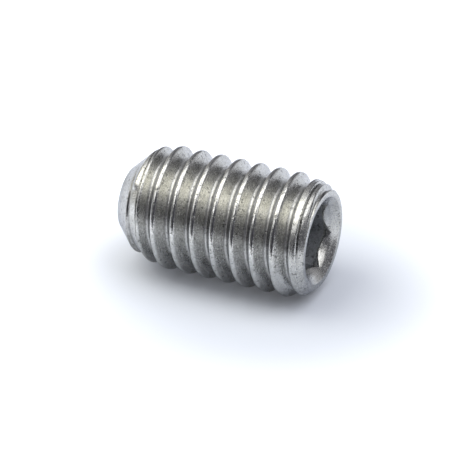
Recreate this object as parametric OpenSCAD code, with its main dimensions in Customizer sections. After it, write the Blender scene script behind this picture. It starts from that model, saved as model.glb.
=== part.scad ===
// Grub set screw: a headless screw with a hex socket and a cup point, made in one piece.
// It stands on its cup point. +Z runs along its axis, from the point to the socket end.
// All lengths are in millimetres and all angles are in degrees.

/* [Thread] */
// Diameter over the thread crests
thread_d = 5.83; // [5.2:0.01:8]
// Advance of the right-hand thread in one turn
pitch = 1; // [0.8:0.05:1.25]
// Angle between the two flanks of a groove
flank_angle = 60; // [55:1:60]
// Width of the flat on the crests
crest_w = 0.125; // [0.08:0.005:0.16]
// Radius of the rounded groove bottom
root_r = 0.14; // [0.08:0.01:0.15]
// Direction in which a crest meets the plane of the point
thread_turn = 250; // [0:5:355]

/* [Body] */
// Length from the cup point to the socket end
length = 9.8; // [7:0.1:20]
// How far the first and the last crest stay below the full ones
crest_drop = 0.235; // [0.1:0.005:0.24]
// Length of the low crests from the point
point_low_w = 1.6; // [1.3:0.05:2]
// Length of the low crests from the socket end
socket_low_w = 0.82; // [0.6:0.02:1.2]
// Length over which a low crest rises to a full one
rise_w = 0.3; // [0.2:0.02:0.5]

/* [Socket end] */
// Outer diameter of the ring that ends the screw
ring_d = 4.68; // [4.4:0.02:4.8]
// Width of the flat ring between the outer chamfer and the countersink
ring_w = 0.27; // [0.05:0.01:0.3]
// Slope of the outer chamfer from the axis
end_slope = 45; // [30:1:60]
// Full angle of the countersink in front of the socket
mouth_angle = 90; // [80:1:130]

/* [Hex socket] */
// Key size across the flats
hex_af = 3; // [2.5:0.05:3.2]
// Depth of the six flats below the socket end
hex_depth = 3.5; // [2:0.1:5]
// Direction of the first corner of the hexagon
hex_turn = 26; // [0:1:59]
// Full angle of the drilled bottom below the flats
drill_angle = 118; // [90:1:140]
// Step between the flats and the drilled bottom
drill_step = 0.02; // [0.01:0.01:0.1]

/* [Cup point] */
// Outer diameter of the rim of the cup
cup_d = 3.1; // [2.5:0.1:4]
// Width of the flat land on the rim
land_w = 0.12; // [0.08:0.01:0.3]
// Full angle of the hollow in the cup
cup_angle = 118; // [100:1:140]
// Slope of the cone round the point from the axis
point_slope = 45; // [30:1:60]

/* [Hidden] */
STEEL = [0.72, 0.72, 0.70];

// The cutting shapes pass this far beyond the steel that they cut
CUT = 0.5;

// The rod starts below the point and ends above the socket end, and is then cut to length
rod_start = -1.5 * pitch;
rod_turns = ceil((length - rod_start) / pitch);

// Facets round one turn: 48 on a short screw, fewer on a long one
turn_facets = min(48, 4 * floor(150 / rod_turns));
// Facets on each half of a groove bottom
root_facets = 3;

// The groove bottom is an arc that runs into each flank with no corner
half_flank = flank_angle / 2;
crest_rad = thread_d / 2;
flank_w = (pitch - crest_w) / 2 - root_r * cos(half_flank);
groove_depth = flank_w / tan(half_flank) + root_r * (1 - sin(half_flank));
root_rad = crest_rad - groove_depth;

low_rad = crest_rad - crest_drop;
blank_rad = crest_rad + CUT;
rise_h = rise_w * (blank_rad - low_rad) / crest_drop;
ring_rad = ring_d / 2;
mouth_rad = ring_rad - ring_w;
cup_rad = cup_d / 2;
hollow_rad = cup_rad - land_w;
hex_corner_rad = hex_af / 2 / cos(30);
drill_rad = hex_af / 2 - drill_step;

// Height of a cone from its radius and its full angle
function cone_h(rad, full_angle) = rad / tan(full_angle / 2);

// Points [radius, height] on the half of a groove bottom that lies above (+1) or below (-1) its middle
function root_arc(side, first) = [
    for (i = [first : root_facets])
        let (a = (90 - half_flank) * i / root_facets)
            [root_rad + root_r * (1 - cos(a)), side * root_r * sin(a)]
];

// A list in the opposite order
function reversed(list) = [for (i = [len(list) - 1 : -1 : 0]) list[i]];

// One pitch of thread, from the middle of one groove up to just short of the next
function one_pitch() = concat(
    root_arc(1, 0),
    [
        [crest_rad, (pitch - crest_w) / 2],
        [crest_rad, (pitch + crest_w) / 2]
    ],
    [for (p = reversed(root_arc(-1, 1))) [p[0], p[1] + pitch]]
);

// Solid rod with a right-hand thread: the outline of one pitch, carried along a helix.
// At each turn the last point of the outline is followed by the first point of the next turn.
module threaded_rod(start, turns) {
    outline = one_pitch();
    m = len(outline);
    n = turn_facets;
    steps = n * turns;
    skin = [
        for (i = [0 : steps + n])
            for (p = outline)
                let (a = 360 * i / n)
                    [p[0] * cos(a), p[0] * sin(a), start + p[1] + pitch * i / n]
    ];
    low = len(skin);
    high = low + 1;
    ends = [[0, 0, start], [0, 0, start + pitch * (turns + 1)]];
    function at(i, j) = j < m ? i * m + j : (i + n) * m;
    sides = [
        for (i = [0 : steps - 1])
            for (j = [0 : m - 1])
                each [
                    [at(i, j), at(i, j + 1), at(i + 1, j)],
                    [at(i + 1, j), at(i, j + 1), at(i + 1, j + 1)]
                ]
    ];
    low_ramp = [for (i = [0 : n - 1]) [low, at(i, 0), at(i + 1, 0)]];
    low_step = [for (j = [0 : m - 1]) [low, at(0, j + 1), at(0, j)]];
    high_ramp = [for (i = [steps : steps + n - 1]) [high, at(i + 1, 0), at(i, 0)]];
    high_step = [for (j = [0 : m - 1]) [high, at(steps, j), at(steps, j + 1)]];
    polyhedron(
        points = concat(skin, ends),
        faces = concat(sides, low_ramp, low_step, high_ramp, high_step),
        convexity = 10
    );
}

// Turned shape that the rod is cut to: cup hollow, point cone, low crests at both ends, outer chamfer,
// ring and countersink
module turned_blank() {
    rotate_extrude($fn = 96)
        polygon([
            [0, cone_h(hollow_rad, cup_angle)],
            [hollow_rad, 0],
            [cup_rad, 0],
            [low_rad, (low_rad - cup_rad) / tan(point_slope)],
            [low_rad, point_low_w],
            [blank_rad, point_low_w + rise_h],
            [blank_rad, length - socket_low_w - rise_h],
            [low_rad, length - socket_low_w],
            [low_rad, length - (low_rad - ring_rad) / tan(end_slope)],
            [ring_rad, length],
            [mouth_rad, length],
            [0, length - cone_h(mouth_rad, mouth_angle)]
        ]);
}

// The six flats, open past the socket end, and the drilled bottom below them
module hex_socket() {
    drill_h = cone_h(drill_rad, drill_angle);
    translate([0, 0, length - hex_depth]) {
        rotate([0, 0, hex_turn])
            cylinder(r = hex_corner_rad, h = hex_depth + CUT, $fn = 6);
        translate([0, 0, -drill_h])
            cylinder(r1 = 0, r2 = drill_rad, h = drill_h, $fn = 48);
    }
}

module set_screw() {
    color(STEEL)
        difference() {
            intersection() {
                rotate([0, 0, thread_turn])
                    threaded_rod(rod_start, rod_turns);
                turned_blank();
            }
            hex_socket();
        }
}

set_screw();
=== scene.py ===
import math

import bmesh
import bpy
from mathutils import Matrix, Vector, noise


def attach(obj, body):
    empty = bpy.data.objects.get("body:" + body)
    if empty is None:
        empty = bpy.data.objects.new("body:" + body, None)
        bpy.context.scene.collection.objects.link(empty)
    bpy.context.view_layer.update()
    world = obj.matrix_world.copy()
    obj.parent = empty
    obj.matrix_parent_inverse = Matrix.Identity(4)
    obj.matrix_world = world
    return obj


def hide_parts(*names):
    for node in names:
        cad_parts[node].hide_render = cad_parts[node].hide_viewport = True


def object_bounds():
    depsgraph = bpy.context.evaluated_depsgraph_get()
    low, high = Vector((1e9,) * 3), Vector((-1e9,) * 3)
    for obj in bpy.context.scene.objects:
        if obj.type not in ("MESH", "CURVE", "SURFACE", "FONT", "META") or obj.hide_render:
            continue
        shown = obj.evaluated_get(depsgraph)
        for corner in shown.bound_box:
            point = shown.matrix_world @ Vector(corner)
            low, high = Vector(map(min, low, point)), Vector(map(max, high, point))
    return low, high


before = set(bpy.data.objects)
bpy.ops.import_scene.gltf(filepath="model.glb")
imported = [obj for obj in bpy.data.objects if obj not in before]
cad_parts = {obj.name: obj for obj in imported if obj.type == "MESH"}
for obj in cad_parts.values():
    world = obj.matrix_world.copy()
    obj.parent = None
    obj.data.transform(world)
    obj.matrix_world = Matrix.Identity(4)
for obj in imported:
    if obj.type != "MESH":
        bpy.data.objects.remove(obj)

CAD_LOW, CAD_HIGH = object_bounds()

# ---------------------------------------------------------------------------
# Sizes of the screw, in millimetres and radians. The mesh is made in
# millimetres and scaled to metres when it is done.
# ---------------------------------------------------------------------------
MM = 0.001
LENGTH = CAD_HIGH.z / MM
CREST_RAD = 2.915
PITCH = 1.0
HALF_FLANK = math.radians(30)
CREST_W = 0.165
CREST_ROUND = 0.09
ROOT_ROUND = 0.14
THREAD_TURN = math.radians(250)

RING_RAD = 2.34
MOUTH_RAD = 2.09
RING_ROUND = 0.05
END_SLOPE = math.radians(45)
# The countersink gets steeper on its way to the hexagon
MOUTH_SLOPE = math.radians(38)
MOUTH_KNEE_RAD = 1.74
MOUTH_FOOT_SLOPE = math.radians(51.5)
MOUTH_ROWS = 10

HEX_SIDES = 6
HEX_APOTHEM = 1.5
HEX_TURN = math.radians(26)
HEX_DEPTH = 3.5
HEX_EDGE_ROUND = 0.05
DRILL_RAD = 1.48
DRILL_SLOPE = math.radians(59)

CUP_RAD = 1.55
HOLLOW_RAD = 1.43
LAND_ROUND = 0.02
POINT_SLOPE = math.radians(45)
CUP_SLOPE = math.radians(59)

# The rolling did not fill the first and the last crest. Each stays low and leans to the free
# end. Sizes are for the point end and for the socket end.
LEAN = (0.08, 0.17)
LOW_TO = (1.6, 9.05)
FULL_FROM = (2.0, 8.62)
# A leaning crest starts to lean at the first place across it, and leans fully at the second
LEANS = (-0.05, 0.1)
# The low crest is folded: a narrow lip on the side of the thread, a seam, and a wider and
# lower lip on the free side. Places across the crest count from its middle to the free end.
INNER_RAD = (2.72, 2.71)
OUTER_RAD = (2.585, 2.61)
OUTER_FALL = (0.55, 0.0)
SEAM_AT = (-0.03, 0.13)
SEAM_W = (0.04, 0.03)
SEAM_DEPTH = (0.14, 0.13)
# The outer lip lies flat where it looks this way, up to the second angle to either side, and
# from the first angle on it falls off towards the end
FLAT_TURN = math.radians(-40)
FLAT_ENDS = (math.radians(42), math.radians(37))

# The crests are worn in spots: how deep, from which radius, how much of them, and how many
# spots a millimetre
WEAR_DEPTH = 0.007
WORN_FROM = 2.6
WEAR_SHARE = 0.1
WEAR_FINE = 3.1
WEAR_COARSE = 0.9

# Fineness of the thread: columns in one turn, and rows on a flank, a groove bottom and a corner
TURN_STEPS = 144
FLANK_ROWS = 10
ROOT_ROWS = 8
CORNER_ROWS = 3
CREST_ROWS = 4
# Width over which a turned cone and a thread flank blend into each other
BLEND_W = 0.06
# Points of a rim closer than this are one point, and so are points of two turns or of a cut
# closer than the second
SAME_POINT = 0.004
SAME_CUT = 0.0004
# Rows of faces on the rounded edges of the hexagon and of the end rims
HEX_EDGE_ROWS = 3
RIM_ROWS = 2
# Edges sharper than this keep their crease in the shading
CREASE = math.radians(38)


# ---------------------------------------------------------------------------
# Shape
# ---------------------------------------------------------------------------
def lower_blended(a, b, width):
    """The lower of two radii, with the corner between them rounded over a width."""
    near = max(width - abs(a - b), 0.0) / width
    return min(a, b) - near * near * width / 4


def outline_of_one_pitch(bm):
    """Half a crest, a groove and half a crest, as a chain of edges in the XZ plane."""
    half_groove = (PITCH - CREST_W) / 2
    sharp_rad = CREST_RAD - half_groove / math.tan(HALF_FLANK)
    corners = (
        (CREST_RAD, 0),
        (CREST_RAD, CREST_W / 2),
        (sharp_rad, PITCH / 2),
        (CREST_RAD, PITCH - CREST_W / 2),
        (CREST_RAD, PITCH),
    )
    verts = [bm.verts.new((r, 0, z)) for r, z in corners]
    for a, b in zip(verts, verts[1:]):
        bm.edges.new((a, b))
    # a corner is cut back by its radius over the tangent of half its angle
    half_crest_corner = (math.pi / 2 + HALF_FLANK) / 2
    round_corners(bm, [verts[2]], ROOT_ROUND / math.tan(HALF_FLANK), ROOT_ROWS)
    crest_cut = CREST_ROUND / math.tan(half_crest_corner)
    round_corners(bm, [verts[1], verts[3]], crest_cut, CORNER_ROWS)
    flanks = [e for e in bm.edges if e.calc_length() > CREST_W * 2]
    crests = [e for e in bm.edges if all(v.co.x > CREST_RAD - SAME_CUT for v in e.verts)]
    bmesh.ops.subdivide_edges(bm, edges=flanks, cuts=FLANK_ROWS - 1)
    bmesh.ops.subdivide_edges(bm, edges=crests, cuts=CREST_ROWS - 1)


def round_corners(bm, verts, cut, rows):
    """Rounds corners of an outline with a number of short edges."""
    bmesh.ops.bevel(
        bm, geom=verts, affect="VERTICES", offset=cut, offset_type="OFFSET",
        segments=rows, profile=0.5, material=-1,
    )


def wind_thread(bm):
    """Winds the outline once round the screw and stacks such turns past both ends."""
    turns = math.ceil(LENGTH / PITCH) + 1
    bmesh.ops.translate(bm, verts=bm.verts, vec=(0, 0, -PITCH))
    bmesh.ops.rotate(bm, verts=bm.verts, matrix=Matrix.Rotation(THREAD_TURN, 3, "Z"))
    bmesh.ops.spin(
        bm, geom=bm.verts[:] + bm.edges[:], cent=(0, 0, 0), axis=(0, 0, 1),
        dvec=(0, 0, PITCH / TURN_STEPS), angle=math.tau, steps=TURN_STEPS,
    )
    one_turn = bm.verts[:] + bm.edges[:] + bm.faces[:]
    for n in range(1, turns):
        copy = bmesh.ops.duplicate(bm, geom=one_turn)["geom"]
        verts = [g for g in copy if isinstance(g, bmesh.types.BMVert)]
        bmesh.ops.translate(bm, verts=verts, vec=(0, 0, n * PITCH))
    bmesh.ops.remove_doubles(bm, verts=bm.verts, dist=SAME_CUT)


def cut_across(bm, height, keep_below):
    """Cuts the screw off square at a height."""
    bmesh.ops.bisect_plane(
        bm, geom=bm.verts[:] + bm.edges[:] + bm.faces[:], dist=SAME_CUT,
        plane_co=(0, 0, height), plane_no=(0, 0, 1),
        clear_outer=keep_below, clear_inner=not keep_below,
    )


def eased(value, start, end):
    """0 before start, 1 after end, and a smooth rise between."""
    t = min(max((value - start) / (end - start), 0.0), 1.0)
    return t * t * (3 - 2 * t)


def off_crest(co):
    """Distance along the axis from the nearest crest's middle."""
    crest = (math.atan2(co.y, co.x) - THREAD_TURN) / math.tau * PITCH
    return (co.z - crest + PITCH / 2) % PITCH - PITCH / 2


def leaned(beyond):
    """How far a crest's free side is pushed towards the free end: 1 at its edge, 0 in the groove."""
    groove = PITCH / 2
    left = (groove - beyond) / (groove - LEANS[1])
    return eased(beyond, *LEANS) * min(max(left, 0.0), 1.0)


def bump(value, middle, width):
    """1 at the middle, and less to either side."""
    return math.exp(-((value - middle) / width) ** 2)


def falls_off(co):
    """0 where the outer lip is flat, and 1 further round."""
    flat = math.cos(math.atan2(co.y, co.x) - FLAT_TURN)
    return 1 - eased(flat, math.cos(FLAT_ENDS[0]), math.cos(FLAT_ENDS[1]))


def folded_crest(across, end, fall):
    """Radius that the low crest of an end reaches at a place across it."""
    past = eased(across, SEAM_AT[end] - SEAM_W[end], SEAM_AT[end] + SEAM_W[end])
    outer = OUTER_RAD[end] - OUTER_FALL[end] * fall * max(across, 0.0)
    lips = INNER_RAD[end] + (outer - INNER_RAD[end]) * past
    return lips - SEAM_DEPTH[end] * bump(across, SEAM_AT[end], SEAM_W[end])


def roll_ends(bm):
    """Lowers and widens the first and the last crest."""
    for v in bm.verts:
        at_socket = v.co.z > LENGTH / 2
        slack = eased(v.co.z, FULL_FROM[at_socket], LOW_TO[at_socket])
        if not at_socket:
            slack = 1 - eased(v.co.z, LOW_TO[0], FULL_FROM[0])
        if slack == 0.0:
            continue
        outward = 1 if at_socket else -1
        beyond = off_crest(v.co) * outward
        shift = LEAN[at_socket] * slack * leaned(beyond)
        v.co.z += outward * shift
        low = folded_crest(beyond + shift, at_socket, falls_off(v.co))
        limit = CREST_RAD - (CREST_RAD - low) * slack
        set_radius(v, lambda rad: lower_blended(rad, limit, BLEND_W))


def set_radius(v, rule):
    """Moves a vertex to the radius that a rule makes of its own."""
    rad = math.hypot(v.co.x, v.co.y)
    new_rad = rule(rad)
    v.co.x *= new_rad / rad
    v.co.y *= new_rad / rad


def turn_ends(bm):
    """Cuts the thread down to the cones of the point and of the socket end."""
    for v in bm.verts:
        point = CUP_RAD + v.co.z / math.tan(POINT_SLOPE)
        end = RING_RAD + (LENGTH - v.co.z) / math.tan(END_SLOPE)
        set_radius(v, lambda rad: lower_blended(rad, min(point, end), BLEND_W))


def wear_crests(bm):
    """Makes the crests slightly uneven, as rolling and handling leave them."""
    for v in bm.verts:
        rad = v.co.xy.length
        high = eased(rad, WORN_FROM, CREST_RAD)
        if high > 0.0:
            uneven = noise.noise(v.co * WEAR_FINE) + noise.noise(v.co * WEAR_COARSE)
            worn = rad - high * WEAR_DEPTH * max(uneven + WEAR_SHARE, 0.0)
            set_radius(v, lambda old: worn)


def rim_edges(bm, height):
    """The open edges at one end of the screw."""
    return [
        e for e in bm.edges
        if e.is_boundary and all(abs(v.co.z - height) < SAME_POINT for v in e.verts)
    ]


def verts_of(edges):
    """The ends of some edges, each once and always in the same order."""
    return list(dict.fromkeys(v for e in edges for v in e.verts))


def hex_rad(angle):
    """Distance from the axis to the hexagon's side in a direction."""
    side = math.tau / HEX_SIDES
    return HEX_APOTHEM / math.cos((angle - HEX_TURN) % side - side / 2)


def place_ring(verts, radius, height):
    """Puts verts at a radius and a height, each a value or a rule of the direction or radius."""
    for v in verts:
        angle = math.atan2(v.co.y, v.co.x)
        rad = radius(angle) if callable(radius) else radius
        z = height(rad) if callable(height) else height
        v.co = Vector((rad * math.cos(angle), rad * math.sin(angle), z))


def grow_ring(bm, edges, radius, height):
    """Extrudes a rim to the next rim, and gives that rim's edges."""
    made = bmesh.ops.extrude_edge_only(bm, edges=edges)["geom"]
    verts = [g for g in made if isinstance(g, bmesh.types.BMVert)]
    place_ring(verts, radius, height)
    fresh = set(verts)
    return [
        g for g in made
        if isinstance(g, bmesh.types.BMEdge) and all(v in fresh for v in g.verts)
    ]


def close_at_apex(bm, edges, apex_z):
    """Closes a rim with a cone to a point on the axis."""
    tip = grow_ring(bm, edges, 0.0, apex_z)
    bmesh.ops.remove_doubles(bm, verts=verts_of(tip), dist=SAME_POINT)


def snap_corners(verts):
    """Turns the nearest point of a rim to each corner of the hexagon."""
    for n in range(HEX_SIDES):
        angle = HEX_TURN + n * math.tau / HEX_SIDES
        way = Vector((math.cos(angle), math.sin(angle), 0))
        nearest = max(verts, key=lambda v: v.co.xy.normalized().dot(way.xy))
        rad = nearest.co.xy.length
        nearest.co = way * rad + Vector((0, 0, nearest.co.z))


def mouth_z(rad):
    """Height of the countersink at a radius."""
    outer = (MOUTH_RAD - max(rad, MOUTH_KNEE_RAD)) * math.tan(MOUTH_SLOPE)
    inner = max(MOUTH_KNEE_RAD - rad, 0.0) * math.tan(MOUTH_FOOT_SLOPE)
    return LENGTH - outer - inner


def make_socket(bm, rim):
    """Ring, countersink, six flats and drilled bottom. Gives the edges to be rounded."""
    place_ring(verts_of(rim), RING_RAD, LENGTH)
    mouth = grow_ring(bm, rim, MOUTH_RAD, LENGTH)
    snap_corners(verts_of(mouth))
    edge = mouth
    for n in range(1, MOUTH_ROWS + 1):
        part = n / MOUTH_ROWS
        edge = grow_ring(
            bm, edge, lambda a: MOUTH_RAD + (hex_rad(a) - MOUTH_RAD) * part, mouth_z,
        )
    bottom_z = LENGTH - HEX_DEPTH
    foot = grow_ring(bm, edge, hex_rad, bottom_z)
    drill = grow_ring(bm, foot, DRILL_RAD, bottom_z)
    close_at_apex(bm, drill, bottom_z - DRILL_RAD / math.tan(DRILL_SLOPE))
    return rim + mouth, edge


def make_cup(bm, rim):
    """Narrow land and hollow cup of the point. Gives the edges to be rounded."""
    place_ring(verts_of(rim), CUP_RAD, 0.0)
    hollow = grow_ring(bm, rim, HOLLOW_RAD, 0.0)
    close_at_apex(bm, hollow, HOLLOW_RAD / math.tan(CUP_SLOPE))
    return rim + hollow


def round_edges(bm, edges, width, rows):
    """Rounds edges of the solid over a width."""
    bmesh.ops.bevel(
        bm, geom=edges, affect="EDGES", offset=width, offset_type="OFFSET",
        segments=rows, profile=0.5, material=-1, clamp_overlap=True, loop_slide=True,
    )


def crease_sharp_edges(bm):
    """Shades the faces smooth, and keeps the sharp edges sharp."""
    for f in bm.faces:
        f.smooth = True
    for e in bm.edges:
        e.smooth = e.is_manifold and e.calc_face_angle(0) < CREASE


def put_in_order(bm):
    """Lists the vertices and faces by their places, so that every run lists them alike."""
    for n, v in enumerate(sorted(bm.verts, key=lambda v: tuple(v.co))):
        v.index = n
    bm.verts.sort()
    for n, f in enumerate(sorted(bm.faces, key=lambda f: tuple(f.calc_center_median()))):
        f.index = n
    bm.faces.sort()


def add_mesh(name, bm):
    """Puts a finished mesh into the scene as an object at the origin."""
    mesh = bpy.data.meshes.new(name)
    bm.to_mesh(mesh)
    bm.free()
    obj = bpy.data.objects.new(name, mesh)
    bpy.context.scene.collection.objects.link(obj)
    return obj


def make_screw():
    """Rolls the thread, cuts its ends to length and to their cones, and closes both ends."""
    bm = bmesh.new()
    outline_of_one_pitch(bm)
    wind_thread(bm)
    roll_ends(bm)
    wear_crests(bm)
    cut_across(bm, 0.0, keep_below=False)
    cut_across(bm, LENGTH, keep_below=True)
    turn_ends(bm)
    for height in (0.0, LENGTH):
        bmesh.ops.remove_doubles(bm, verts=verts_of(rim_edges(bm, height)), dist=SAME_POINT)
    ring_edges, hex_edges = make_socket(bm, rim_edges(bm, LENGTH))
    land_edges = make_cup(bm, rim_edges(bm, 0.0))
    # rounding an edge needs its two faces to turn the same way
    bmesh.ops.recalc_face_normals(bm, faces=bm.faces)
    round_edges(bm, hex_edges, HEX_EDGE_ROUND, HEX_EDGE_ROWS)
    round_edges(bm, [e for e in ring_edges if e.is_valid], RING_ROUND, RIM_ROWS)
    round_edges(bm, [e for e in land_edges if e.is_valid], LAND_ROUND, RIM_ROWS)
    bmesh.ops.recalc_face_normals(bm, faces=bm.faces)
    crease_sharp_edges(bm)
    put_in_order(bm)
    bmesh.ops.scale(bm, verts=bm.verts, vec=(MM, MM, MM))
    return add_mesh("screw_body", bm)


# ---------------------------------------------------------------------------
# Steel: stainless, rolled and then pickled
# ---------------------------------------------------------------------------
# Colours, and the noises of the patches, streaks, grain and pits
STEEL_DARK = (0.46, 0.46, 0.445)
STEEL_PALE = (0.535, 0.535, 0.525)
STEEL_AT_GRAZING = (0.68, 0.69, 0.73)
PATCH_SCALE = 2.4
PATCH_DETAIL = 4.0
PATCH_CRISPNESS = 0.6

STREAK_FINENESS = 9.0
STREAK_STRETCH = 0.35
STREAK_DETAIL = 4.0
STREAK_CRISPNESS = 0.65
GRAIN_SCALE = 14.0
GRAIN_DETAIL = 3.0
GRAIN_CRISPNESS = 0.6
PIT_SCALE = 6.0
PIT_DETAIL = 2.0
PIT_FROM = 0.62
PIT_EDGE = 0.07
# The part of a noise's range that a pattern uses
USED = (0.35, 0.65)
GRAIN_USED = (0.34, 0.66)

# What the colour is multiplied by
GRAIN_TONE = (0.80, 1.16)
PIT_TONE = 0.5
# The crests' colour is raised as a painted highlight
CREST_PAINTED_HIGHLIGHT = 1.02
# The ends' colour is darkened as painted shade
END_PAINTED_SHADE = 0.92
# The hexagon's colour is turned bluish as painted shade
SOCKET_PAINTED_SHADE_TINT = (0.985, 1.015, 1.085)

# Roughness of the streaks, what each of the others adds, and the share that the crests keep
STREAK_DULLNESS = (0.14, 0.24)
GRAIN_DULLNESS = 0.08
GROOVE_DULLNESS = 0.12
SOCKET_DULLNESS = 0.18
CREST_POLISH = 0.5

# Depth of the relief in millimetres, and the part of it that each pattern has
RELIEF_DEPTH = 0.012
STREAK_RELIEF = 0.6
GRAIN_RELIEF = 0.6
PIT_RELIEF = 0.5
RELIEF_LEVEL = 0.6
SOCKET_RELIEF = 0.15

# Where each place begins and is full, or begins to end and has ended, in millimetres from the
# axis, or with a Z from the point
CREST_HIGHLIGHT_ZONE = (2.84, 2.89)
POLISH_ZONE = (2.84, 2.88)
GROOVE_ENDS_RAD = (2.3, 2.52)
GROOVE_FROM_Z = (0.85, 0.95)
GROOVE_TO_Z = (9.3, 9.4)
OUTSIDE_RAD = 2.2
SOCKET_TO_RAD = (1.76, 1.8)
SOCKET_TO_Z = (9.1, 9.2)
SOCKET_END_Z = (9.2, 9.5)
POINT_END_Z = (0.8, 1.0)


def add_node(tree, kind, **settings):
    """Adds a node. Settings named after its inputs set those, and the others its properties."""
    node = tree.nodes.new(kind)
    for name, value in settings.items():
        socket = node.inputs.get(name.replace("_", " "))
        if socket:
            socket.default_value = value
        else:
            setattr(node, name, value)
    return node


def feed(tree, value, socket):
    """Gives an input a number, a colour or the output of another node."""
    if isinstance(value, bpy.types.NodeSocket):
        tree.links.new(value, socket)
    elif isinstance(value, tuple):
        socket.default_value = (*value, 1)
    else:
        socket.default_value = value


def calculate(tree, operation, *values):
    """A Math node on sockets and numbers, and gives its output."""
    node = add_node(tree, "ShaderNodeMath", operation=operation)
    for socket, value in zip(node.inputs, values):
        feed(tree, value, socket)
    return node.outputs[0]


def mix_colours(tree, factor, first, second, blend_type="MIX"):
    """A Mix node on colours, and gives its output."""
    node = add_node(tree, "ShaderNodeMix", data_type="RGBA", blend_type=blend_type)
    feed(tree, factor, node.inputs["Factor"])
    feed(tree, first, node.inputs["A"])
    feed(tree, second, node.inputs["B"])
    return node.outputs["Result"]


def new_group(name, inputs, outputs):
    """A node group with float inputs, each given its usual value, and float outputs."""
    tree = bpy.data.node_groups.new(name, "ShaderNodeTree")
    for title, value in inputs.items():
        socket = tree.interface.new_socket(title, in_out="INPUT", socket_type="NodeSocketFloat")
        socket.default_value = value
    for title in outputs:
        tree.interface.new_socket(title, in_out="OUTPUT", socket_type="NodeSocketFloat")
    return tree, tree.nodes.new("NodeGroupInput"), tree.nodes.new("NodeGroupOutput")


def place_in_mm(tree):
    """The piece's own coordinates in millimetres."""
    coords = add_node(tree, "ShaderNodeTexCoord")
    scaled = add_node(tree, "ShaderNodeVectorMath", operation="SCALE", Scale=1 / MM)
    tree.links.new(coords.outputs["Object"], scaled.inputs[0])
    return scaled.outputs[0]


def parts_of(tree, vector):
    """X, Y and Z of a vector."""
    parts = add_node(tree, "ShaderNodeSeparateXYZ")
    tree.links.new(vector, parts.inputs[0])
    return parts.outputs


def radius_of(tree, x, y):
    """Distance from the screw's axis."""
    xx = calculate(tree, "MULTIPLY", x, x)
    yy = calculate(tree, "MULTIPLY", y, y)
    return calculate(tree, "SQRT", calculate(tree, "ADD", xx, yy))


def noise_at(tree, vector, scale, detail, rough=0.5):
    """A noise from 0 to 1 on a vector."""
    node = add_node(tree, "ShaderNodeTexNoise", Scale=scale, Detail=detail, Roughness=rough)
    tree.links.new(vector, node.inputs["Vector"])
    return node.outputs["Fac"]


def ramp(tree, value, reach, to_low=0.0, to_high=1.0):
    """A smooth change from one number to another while a value crosses a reach."""
    node = add_node(
        tree, "ShaderNodeMapRange", interpolation_type="SMOOTHSTEP",
        From_Min=reach[0], From_Max=reach[1], To_Min=to_low, To_Max=to_high,
    )
    tree.links.new(value, node.inputs["Value"])
    return node.outputs["Result"]


def until(tree, value, reach):
    """1 before a reach and 0 after it."""
    return ramp(tree, value, reach, 1.0, 0.0)


def share(tree, mask, number):
    """A number where a mask is 1, and 1 where it is 0."""
    return ramp(tree, mask, (0.0, 1.0), 1.0, number)


def rolling_streaks():
    """Fine lines that follow the thread, from 0 to 1."""
    tree, given, result = new_group("rolling_streaks", {"Fineness": STREAK_FINENESS}, ("Streaks",))
    x, y, z = parts_of(tree, place_in_mm(tree))
    fineness = given.outputs["Fineness"]
    turn = calculate(tree, "DIVIDE", calculate(tree, "ARCTAN2", y, x), math.tau)
    pitches = calculate(tree, "DIVIDE", z, PITCH)
    across = calculate(tree, "FRACT", calculate(tree, "SUBTRACT", pitches, turn))
    along = calculate(tree, "MULTIPLY", calculate(tree, "ADD", x, y), STREAK_STRETCH)
    lines = add_node(tree, "ShaderNodeCombineXYZ")
    feed(tree, calculate(tree, "MULTIPLY", radius_of(tree, x, y), fineness), lines.inputs[0])
    feed(tree, calculate(tree, "MULTIPLY", across, fineness), lines.inputs[1])
    feed(tree, along, lines.inputs[2])
    streaks = noise_at(tree, lines.outputs[0], 1.0, STREAK_DETAIL, STREAK_CRISPNESS)
    tree.links.new(streaks, result.inputs["Streaks"])
    return tree


def surface_grain():
    """Fine grain of the pickled surface, and scattered small pits, both from 0 to 1."""
    tree, given, result = new_group("surface_grain", {"Pits From": PIT_FROM}, ("Grain", "Pits"))
    vector = place_in_mm(tree)
    grain = noise_at(tree, vector, GRAIN_SCALE, GRAIN_DETAIL, GRAIN_CRISPNESS)
    spots = noise_at(tree, vector, PIT_SCALE, PIT_DETAIL)
    start = given.outputs["Pits From"]
    pits = add_node(tree, "ShaderNodeMapRange", interpolation_type="SMOOTHSTEP")
    tree.links.new(spots, pits.inputs["Value"])
    tree.links.new(start, pits.inputs["From Min"])
    tree.links.new(calculate(tree, "ADD", start, PIT_EDGE), pits.inputs["From Max"])
    tree.links.new(grain, result.inputs["Grain"])
    tree.links.new(pits.outputs["Result"], result.inputs["Pits"])
    return tree


def groove_mask(tree, rad, z):
    """1 in the bottom of the thread's grooves, and 0 on its flanks, crests and at both ends."""
    low = until(tree, rad, GROOVE_ENDS_RAD)
    from_point = ramp(tree, z, GROOVE_FROM_Z)
    to_socket = until(tree, z, GROOVE_TO_Z)
    inside = calculate(tree, "MULTIPLY", from_point, to_socket)
    outside = calculate(tree, "GREATER_THAN", rad, OUTSIDE_RAD)
    return calculate(tree, "MULTIPLY", calculate(tree, "MULTIPLY", low, inside), outside)


def socket_mask(tree, rad, z):
    """1 inside the hexagon, and 0 elsewhere."""
    return calculate(
        tree, "MULTIPLY", until(tree, rad, SOCKET_TO_RAD), until(tree, z, SOCKET_TO_Z),
    )


def end_mask(tree, z):
    """1 on the cones and faces of both ends, where the colour is darkened as painted shade."""
    return calculate(tree, "MAXIMUM", ramp(tree, z, SOCKET_END_Z), until(tree, z, POINT_END_Z))


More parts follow.
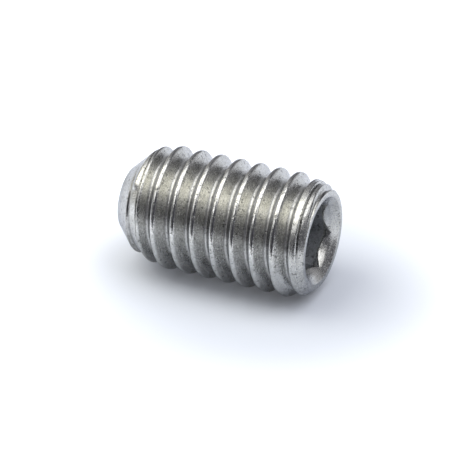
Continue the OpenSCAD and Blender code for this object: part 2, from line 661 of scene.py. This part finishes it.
def steel_colour(tree, vector, grain, pits, in_socket, painted_tones):
    """Patchy grey with a darker grain and dark pits, a painted highlight on the crests, painted
    shade on the ends and a cooler painted shade in the hexagon.
    """
    patches = noise_at(tree, vector, PATCH_SCALE, PATCH_DETAIL, PATCH_CRISPNESS)
    tone = mix_colours(tree, ramp(tree, patches, USED), STEEL_DARK, STEEL_PALE)
    dark = calculate(
        tree, "MULTIPLY", ramp(tree, grain, GRAIN_USED, *GRAIN_TONE), share(tree, pits, PIT_TONE),
    )
    # painted highlight on the crests and painted shade on the ends
    for shade in painted_tones:
        dark = calculate(tree, "MULTIPLY", dark, shade)
    speckled = mix_colours(tree, 1.0, tone, dark, "MULTIPLY")
    # bluish painted shade inside the hexagon
    return mix_colours(tree, in_socket, speckled, SOCKET_PAINTED_SHADE_TINT, "MULTIPLY")


def steel_roughness(tree, streaks, grain, in_groove, in_socket, rad):
    """Satin that varies with the streaks, duller in the grooves and polished on the crests."""
    rough = calculate(
        tree, "ADD",
        ramp(tree, streaks, USED, *STREAK_DULLNESS),
        ramp(tree, grain, USED, 0.0, GRAIN_DULLNESS),
    )
    rough = calculate(tree, "ADD", rough, calculate(tree, "MULTIPLY", in_groove, GROOVE_DULLNESS))
    rough = calculate(tree, "ADD", rough, calculate(tree, "MULTIPLY", in_socket, SOCKET_DULLNESS))
    return calculate(tree, "MULTIPLY", rough, ramp(tree, rad, POLISH_ZONE, 1.0, CREST_POLISH))


def steel_relief(tree, streaks, grain, pits, in_socket):
    """Normals of the streaks, the grain and the pits, and gives the node's output."""
    relief = calculate(
        tree, "ADD",
        calculate(tree, "MULTIPLY", streaks, STREAK_RELIEF),
        calculate(tree, "MULTIPLY", grain, GRAIN_RELIEF),
    )
    relief = calculate(tree, "SUBTRACT", relief, calculate(tree, "MULTIPLY", pits, PIT_RELIEF))
    relief = calculate(tree, "SUBTRACT", relief, RELIEF_LEVEL)
    relief = calculate(tree, "MULTIPLY", relief, share(tree, in_socket, SOCKET_RELIEF))
    bumps = add_node(tree, "ShaderNodeBump", Strength=1.0, Distance=RELIEF_DEPTH * MM)
    tree.links.new(relief, bumps.inputs["Height"])
    return bumps.outputs["Normal"]


def steel():
    """The finish of the whole screw."""
    mat = bpy.data.materials.new("rolled_stainless_steel")
    mat.use_nodes = True
    tree = mat.node_tree
    shader = tree.nodes["Principled BSDF"]
    shader.inputs["Metallic"].default_value = 1.0
    shader.inputs["Specular Tint"].default_value = (*STEEL_AT_GRAZING, 1)
    streaks = add_node(tree, "ShaderNodeGroup", node_tree=rolling_streaks()).outputs["Streaks"]
    surface = add_node(tree, "ShaderNodeGroup", node_tree=surface_grain())
    grain = surface.outputs["Grain"]
    pits = surface.outputs["Pits"]
    vector = place_in_mm(tree)
    x, y, z = parts_of(tree, vector)
    rad = radius_of(tree, x, y)
    in_socket = socket_mask(tree, rad, z)
    # The crests get a painted highlight and both ends painted shade
    painted_tones = (
        ramp(tree, rad, CREST_HIGHLIGHT_ZONE, 1.0, CREST_PAINTED_HIGHLIGHT),
        share(tree, end_mask(tree, z), END_PAINTED_SHADE),
    )
    colour = steel_colour(tree, vector, grain, pits, in_socket, painted_tones)
    rough = steel_roughness(tree, streaks, grain, groove_mask(tree, rad, z), in_socket, rad)
    relief = steel_relief(tree, streaks, grain, pits, in_socket)
    tree.links.new(colour, shader.inputs["Base Color"])
    tree.links.new(rough, shader.inputs["Roughness"])
    tree.links.new(relief, shader.inputs["Normal"])
    return mat


# ---------------------------------------------------------------------------
# Studio: the screw is lit and seen as it lies on its side. The floor it then
# lies on is an upright plane in this frame, and OVER points away from it.
# ---------------------------------------------------------------------------
OVER_TURN = math.radians(-47.1)
LOOK_DOWN = math.radians(30.38)
SWING = math.radians(65.74)
MIDDLE = Vector((0, 0, LENGTH / 2))
OVER = Vector((math.cos(OVER_TURN), math.sin(OVER_TURN), 0))
ALONG = Vector((0, 0, 1))
ACROSS = ALONG.cross(OVER)

LENS = 234.3
SENSOR = 36
NEAREST_SEEN = 0.001
FURTHEST_SEEN = 10
# Place of the camera from the screw's middle, in millimetres
CAMERA_RIGHT = 0.201
CAMERA_UP = -0.553
CAMERA_BACK = 140.404

# Grey walls stand round the screw. Each reaches between two azimuths, up to an elevation, at a
# distance, and has its own tone. High walls stand behind the others.
WALL_AWAY = 0.3
HIGH_WALL_AWAY = 0.33
WALL_STEPS = 16
WALLS = {
    "front_wall": ((-42, 28), 66, WALL_AWAY, (0.065, 0.065, 0.08)),
    "right_wall": ((28, 108), 37, WALL_AWAY, (0.18, 0.18, 0.20)),
    "back_right_wall": ((114, 150), 24, WALL_AWAY, (0.6, 0.6, 0.62)),
    "far_right_high_wall": ((108, 170), 60, HIGH_WALL_AWAY, (0.16, 0.16, 0.18)),
    "far_wall": ((170, 196), 50, WALL_AWAY, (0.38, 0.38, 0.40)),
    "far_left_wall": ((-164, -95), 36, WALL_AWAY, (0.86, 0.85, 0.80)),
    "far_left_high_wall": ((-164, -118), 68, HIGH_WALL_AWAY, (0.42, 0.42, 0.43)),
    "left_wall": ((-95, -62), 36, WALL_AWAY, (0.25, 0.25, 0.26)),
    "front_left_wall": ((-62, -42), 31, WALL_AWAY, (0.285, 0.285, 0.295)),
}

# Softboxes, at one distance. Each has an elevation and an azimuth in degrees, a width and a
# height, a brightness and a colour.
SOFTBOX_AWAY = 0.25
WARM = (1, 0.97, 0.81)
WHITE = (1, 1, 1)
SOFTBOXES = {
    "key_softbox": (59, -99, 0.175, 0.19, 2.25, WARM),
    "front_left_softbox": (41, -54, 0.035, 0.09, 1.7, WHITE),
    "right_softbox": (58, 76, 0.25, 0.25, 1.2, WHITE),
    "overhead": (86, -60, 0.30, 0.30, 0.5, WHITE),
}

# The floor is square, and ends a little in front of the screw
FLOOR_HALF = 0.5
FLOOR_FRONT = 0.017
FLOOR_COLOUR = (0.63, 0.67, 0.76)
FLOOR_GLOW = (0.70, 0.70, 0.70)
# The floor's own glow grows from a little beside the screw to full at this distance, so that the
# weaker glow near the screw paints a shadow there
FADE_WIDE = 13.5
FADE_LONG = 14.5
FADE_FROM = 0.37
GLOW_IN_PAINTED_SHADOW = 0.09
# The middle of this painted shadow lies off the screw's middle, on this azimuth
SHADE_OFF = 2.3
SHADE_WAY = math.radians(55)


def way(elevation, azimuth):
    """Direction at an elevation above the floor and an azimuth from the camera, to its right."""
    front = ALONG * math.cos(SWING) + ACROSS * math.sin(SWING)
    right = OVER.cross(front)
    level = front * math.cos(azimuth) + right * math.sin(azimuth)
    return level * math.cos(elevation) + OVER * math.sin(elevation)


def make_camera():
    data = bpy.data.cameras.new("camera")
    data.lens = LENS
    data.sensor_width = SENSOR
    data.clip_start = NEAREST_SEEN
    data.clip_end = FURTHEST_SEEN
    cam = bpy.data.objects.new("camera", data)
    bpy.context.scene.collection.objects.link(cam)
    back = way(LOOK_DOWN, 0.0)
    right = OVER.cross(back).normalized()
    up = back.cross(right)
    place = MIDDLE + CAMERA_RIGHT * right + CAMERA_UP * up + CAMERA_BACK * back
    turn = Matrix((right, up, back)).transposed()
    cam.matrix_world = Matrix.Translation(place * MM) @ turn.to_4x4()
    bpy.context.scene.camera = cam


def bare_material(name):
    """A material, its node tree, and its output, which is the only node."""
    mat = bpy.data.materials.new(name)
    mat.use_nodes = True
    tree = mat.node_tree
    tree.nodes.clear()
    return mat, tree, add_node(tree, "ShaderNodeOutputMaterial")


def set_on_floor(bm, first, ahead=0.0):
    """Turns a mesh from the XY plane onto the floor, with +X along a way on it."""
    turn = Matrix((first, OVER.cross(first), OVER)).transposed().to_4x4()
    below_screw = (MIDDLE - OVER * CREST_RAD) * MM
    place = Matrix.Translation(first * ahead + below_screw)
    bmesh.ops.transform(bm, matrix=place @ turn, verts=bm.verts)


def rays_that_see(tree):
    """1 for the camera's own rays and those that come by way of metal or glass."""
    path = add_node(tree, "ShaderNodeLightPath").outputs
    seen = calculate(tree, "MAXIMUM", path["Is Camera Ray"], path["Is Transmission Ray"])
    return calculate(tree, "MAXIMUM", seen, path["Is Glossy Ray"])


def glow_beyond_painted_shadow(tree):
    """Little beside the screw, where the weaker glow paints a shadow, and 1 where the floor's glow
    is full.
    """
    coords = add_node(tree, "ShaderNodeTexCoord")
    centred = add_node(tree, "ShaderNodeMapping", vector_type="TEXTURE")
    shade = MIDDLE + way(0.0, SHADE_WAY) * SHADE_OFF
    centred.inputs["Location"].default_value = shade * MM
    centred.inputs["Scale"].default_value = (FADE_WIDE * MM, FADE_WIDE * MM, FADE_LONG * MM)
    tree.links.new(coords.outputs["Object"], centred.inputs["Vector"])
    away = add_node(tree, "ShaderNodeVectorMath", operation="LENGTH")
    tree.links.new(centred.outputs["Vector"], away.inputs[0])
    return ramp(tree, away.outputs["Value"], (FADE_FROM, 1.0), GLOW_IN_PAINTED_SHADOW, 1.0)


def floor_paper():
    """Pale paper that glows away from the screw, with a painted shadow where its glow is weaker near
    the screw, and is clear when seen from behind.
    """
    mat, tree, out = bare_material("pale_floor")
    paper = add_node(tree, "ShaderNodeBsdfDiffuse", Color=(*FLOOR_COLOUR, 1))
    emit = add_node(tree, "ShaderNodeEmission", Color=(*FLOOR_GLOW, 1))
    # the glow is weaker near the screw, which paints a shadow round it
    strength = calculate(tree, "MULTIPLY", rays_that_see(tree), glow_beyond_painted_shadow(tree))
    tree.links.new(strength, emit.inputs["Strength"])
    both = add_node(tree, "ShaderNodeAddShader")
    tree.links.new(paper.outputs[0], both.inputs[0])
    tree.links.new(emit.outputs[0], both.inputs[1])
    clear = add_node(tree, "ShaderNodeBsdfTransparent")
    side = add_node(tree, "ShaderNodeNewGeometry")
    one_way = add_node(tree, "ShaderNodeMixShader")
    tree.links.new(side.outputs["Backfacing"], one_way.inputs[0])
    tree.links.new(both.outputs[0], one_way.inputs[1])
    tree.links.new(clear.outputs[0], one_way.inputs[2])
    tree.links.new(one_way.outputs[0], out.inputs["Surface"])
    return mat


def make_floor():
    bm = bmesh.new()
    bmesh.ops.create_grid(bm, x_segments=1, y_segments=1, size=FLOOR_HALF)
    set_on_floor(bm, way(0.0, 0.0), FLOOR_FRONT - FLOOR_HALF)
    floor = add_mesh("floor", bm)
    floor.data.materials.append(floor_paper())


def make_world():
    world = bpy.data.worlds.new("white_backdrop")
    bpy.context.scene.world = world
    world.use_nodes = True
    world.node_tree.nodes["Background"].inputs["Color"].default_value = (*WHITE, 1)


def glow(name, tone):
    """A material that only glows, in a tone."""
    mat, tree, out = bare_material(name)
    emit = add_node(tree, "ShaderNodeEmission", Color=(*tone, 1), Strength=1.0)
    tree.links.new(emit.outputs[0], out.inputs["Surface"])
    return mat


def make_wall(name, reach, top, away, tone):
    """An upright arc of wall round the screw, seen only by the steel and the floor."""
    start, end = (math.radians(a) for a in reach)
    bm = bmesh.new()
    # the foot is far below the floor, where nothing sees its edge
    foot = bm.verts.new((away, 0, -away / 2))
    head = bm.verts.new((away, 0, away * math.tan(math.radians(top))))
    bm.edges.new((foot, head))
    bmesh.ops.spin(
        bm, geom=bm.verts[:] + bm.edges[:], cent=(0, 0, 0), axis=(0, 0, 1),
        angle=end - start, steps=WALL_STEPS,
    )
    set_on_floor(bm, way(0.0, start))
    wall = add_mesh(name, bm)
    wall.data.materials.append(glow(name, tone))
    wall.visible_camera = False


def add_softbox(name, elevation, azimuth, width, height, brightness, colour):
    """An area light that faces the screw's middle and is as bright as a glow of its strength."""
    data = bpy.data.lights.new(name, "AREA")
    data.shape = "RECTANGLE"
    data.size = width
    data.size_y = height
    data.energy = brightness * math.pi * width * height
    data.color = colour
    light = bpy.data.objects.new(name, data)
    bpy.context.scene.collection.objects.link(light)
    to_light = way(math.radians(elevation), math.radians(azimuth))
    light.location = MIDDLE * MM + to_light * SOFTBOX_AWAY
    light.rotation_mode = "QUATERNION"
    light.rotation_quaternion = to_light.to_track_quat("Z", "Y")
    light.visible_camera = False


screw = make_screw()
screw.data.materials.append(steel())
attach(screw, "root")
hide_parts("set_screw")

make_floor()
make_world()
for wall_name, wall in WALLS.items():
    make_wall(wall_name, *wall)
for softbox_name, softbox in SOFTBOXES.items():
    add_softbox(softbox_name, *softbox)
make_camera()

bpy.context.scene.view_settings.view_transform = "Standard"
